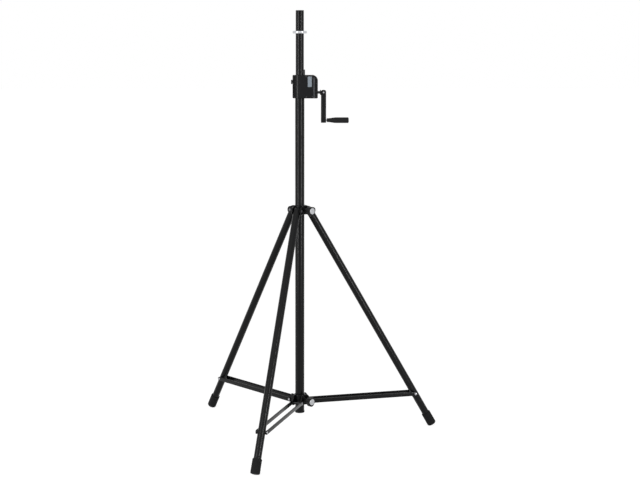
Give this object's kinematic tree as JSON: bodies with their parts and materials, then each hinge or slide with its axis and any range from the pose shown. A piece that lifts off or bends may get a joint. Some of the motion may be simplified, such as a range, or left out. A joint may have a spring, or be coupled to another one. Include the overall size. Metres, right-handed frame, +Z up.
{
  "type": "crank lighting stand",
  "caption": "Tripod lighting stand whose toothed pole is wound up by a side crank through a worm winch, with sliding collars, hinged legs and flat struts.",
  "frame": {"origin": "middle of the bounding box in plan, at floor level; the mast axis stands beside it because the three legs and the crank reach out unevenly", "axes": "+Z up along the mast, +X towards the crank, -Y the side that the clamp knobs and the housing cover face"},
  "size_m": [1.052, 1.071, 1.8555],
  "materials": {
    "gloss_powder": "semi-gloss black powder coat on steel tube",
    "cast_black": "satin black coated casting",
    "bright_steel": "bright plated",
    "chrome": "polished",
    "brass": "machined",
    "rubber": "matt black rubber",
    "black_plastic": "satin black moulded plastic",
    "pale_disc": "pale satin"
  },
  "bodies": {
    "mast_tube": {"main_tube": "gloss_powder", "tube_end_cap": "black_plastic", "housing_body": "cast_black", "housing_cover": "cast_black", "cover_screw_1": "bright_steel", "cover_screw_2": "bright_steel", "cover_screw_3": "bright_steel", "cover_screw_4": "bright_steel", "housing_end": "cast_black", "guide_bush": "black_plastic", "shaft_bush_front": "brass", "shaft_bush_rear": "brass", "crank_bush": "brass"},
    "pole": {"pole": "gloss_powder", "pole_top_plug": "black_plastic", "lower_glide": "black_plastic", "rack": "bright_steel", "stop_block": "bright_steel", "stop_ring": "chrome"},
    "drive": {"pinion_shaft": "bright_steel", "worm_wheel": "brass"},
    "crank": {"crank_shaft": "bright_steel", "crank_collar": "black_plastic", "crank_arm": "cast_black", "crank_bolt": "bright_steel", "grip_spindle": "bright_steel"},
    "grip": {"crank_grip": "rubber"},
    "lock": {"lock_knob": "black_plastic"},
    "upper_collar": {"upper_collar": "cast_black", "leg_bolt_right": "bright_steel", "leg_bolt_back": "bright_steel", "leg_bolt_front": "bright_steel"},
    "upper_knob": {"upper_clamp_screw": "bright_steel", "upper_clamp_knob": "black_plastic", "upper_knob_disc": "pale_disc"},
    "lower_collar": {"lower_collar": "cast_black"},
    "lower_knob": {"lower_clamp_screw": "bright_steel", "lower_clamp_knob": "black_plastic", "lower_knob_disc": "pale_disc"},
    "leg_right": {"leg_right": "gloss_powder", "foot_right": "rubber"},
    "strut_right": {"strut_bar_right_a": "gloss_powder", "strut_bar_right_b": "gloss_powder", "strut_bolt_right_a": "bright_steel", "strut_bolt_right_b": "bright_steel", "strut_pin_right": "bright_steel"},
    "leg_back": {"leg_back": "gloss_powder", "foot_back": "rubber"},
    "strut_back": {"strut_bar_back_a": "gloss_powder", "strut_bar_back_b": "gloss_powder", "strut_bolt_back_a": "bright_steel", "strut_bolt_back_b": "bright_steel", "strut_pin_back": "bright_steel"},
    "leg_front": {"leg_front": "gloss_powder", "foot_front": "rubber"},
    "strut_front": {"strut_bar_front_a": "gloss_powder", "strut_bar_front_b": "gloss_powder", "strut_bolt_front_a": "bright_steel", "strut_bolt_front_b": "bright_steel", "strut_pin_front": "bright_steel"}
  },
  "joints": [
    {"name": "mast_extend", "type": "slide", "parent": "mast_tube", "child": "pole", "axis": [0, 0, 1], "range_m": [0, 1.09]},
    {"name": "drive_turn", "type": "hinge", "parent": "mast_tube", "child": "drive", "pos_m": [-0.05513, 0.06863, 1.5325], "axis": [0, 1, 0], "range_deg": [0, 3330.8]},
    {"name": "crank_turn", "type": "hinge", "parent": "mast_tube", "child": "crank", "pos_m": [0.01237, 0.05413, 1.5095], "axis": [1, 0, 0], "range_deg": [0, 39969.54]},
    {"name": "grip_spin", "type": "hinge", "parent": "crank", "child": "grip", "pos_m": [0.06087, 0.05413, 1.391], "axis": [1, 0, 0], "continuous": true},
    {"name": "lock_turn", "type": "hinge", "parent": "mast_tube", "child": "lock", "pos_m": [-0.12313, 0.06863, 1.5535], "axis": [-1, 0, 0], "range_deg": [0, 360]},
    {"name": "tripod_slide", "type": "slide", "parent": "mast_tube", "child": "upper_collar", "axis": [0, 0, 1], "range_m": [-0.012, 0.085]},
    {"name": "upper_clamp_turn", "type": "hinge", "parent": "upper_collar", "child": "upper_knob", "pos_m": [-0.04139, 0.01743, 1.0035], "axis": [0.682, -0.7314, 0], "range_deg": [0, 540]},
    {"name": "tripod_fold", "type": "slide", "parent": "upper_collar", "child": "lower_collar", "axis": [0, 0, 1], "range_m": [0, 0.3564]},
    {"name": "lower_clamp_turn", "type": "hinge", "parent": "lower_collar", "child": "lower_knob", "pos_m": [-0.04139, 0.01743, 0.1605], "axis": [0.682, -0.7314, 0], "range_deg": [0, 540]},
    {"name": "leg_right_hinge", "type": "hinge", "parent": "upper_collar", "child": "leg_right", "pos_m": [-0.0487, 0.07797, 1.001], "axis": [-0.225, 0.9744, 0], "range_deg": [0, 27]},
    {"name": "strut_right_hinge", "type": "hinge", "parent": "lower_collar", "child": "strut_right", "pos_m": [-0.04528, 0.07875, 0.153], "axis": [-0.225, 0.9744, 0], "range_deg": [0, 84.77]},
    {"name": "leg_back_hinge", "type": "hinge", "parent": "upper_collar", "child": "leg_back", "pos_m": [-0.11743, 0.09898, 1.001], "axis": [-0.7314, -0.682, 0], "range_deg": [0, 27]},
    {"name": "strut_back_hinge", "type": "hinge", "parent": "lower_collar", "child": "strut_back", "pos_m": [-0.11982, 0.10154, 0.153], "axis": [-0.7314, -0.682, 0], "range_deg": [0, 84.77]},
    {"name": "leg_front_hinge", "type": "hinge", "parent": "upper_collar", "child": "leg_front", "pos_m": [-0.10126, 0.02894, 1.001], "axis": [0.9563, -0.2924, 0], "range_deg": [0, 27]},
    {"name": "strut_front_hinge", "type": "hinge", "parent": "lower_collar", "child": "strut_front", "pos_m": [-0.10229, 0.02559, 0.153], "axis": [0.9563, -0.2924, 0], "range_deg": [0, 84.77]}
  ],
  "couplings": [
    {"joint": "drive_turn", "follows": "mast_extend", "rad_per_m": 53.333},
    {"joint": "crank_turn", "follows": "mast_extend", "rad_per_m": 640},
    {"joint": "leg_right_hinge", "follows": "tripod_fold", "rad_per_m": 1.3222},
    {"joint": "strut_right_hinge", "follows": "tripod_fold", "rad_per_m": 4.1512},
    {"joint": "leg_back_hinge", "follows": "tripod_fold", "rad_per_m": 1.3222},
    {"joint": "strut_back_hinge", "follows": "tripod_fold", "rad_per_m": 4.1512},
    {"joint": "leg_front_hinge", "follows": "tripod_fold", "rad_per_m": 1.3222},
    {"joint": "strut_front_hinge", "follows": "tripod_fold", "rad_per_m": 4.1512}
  ]
}
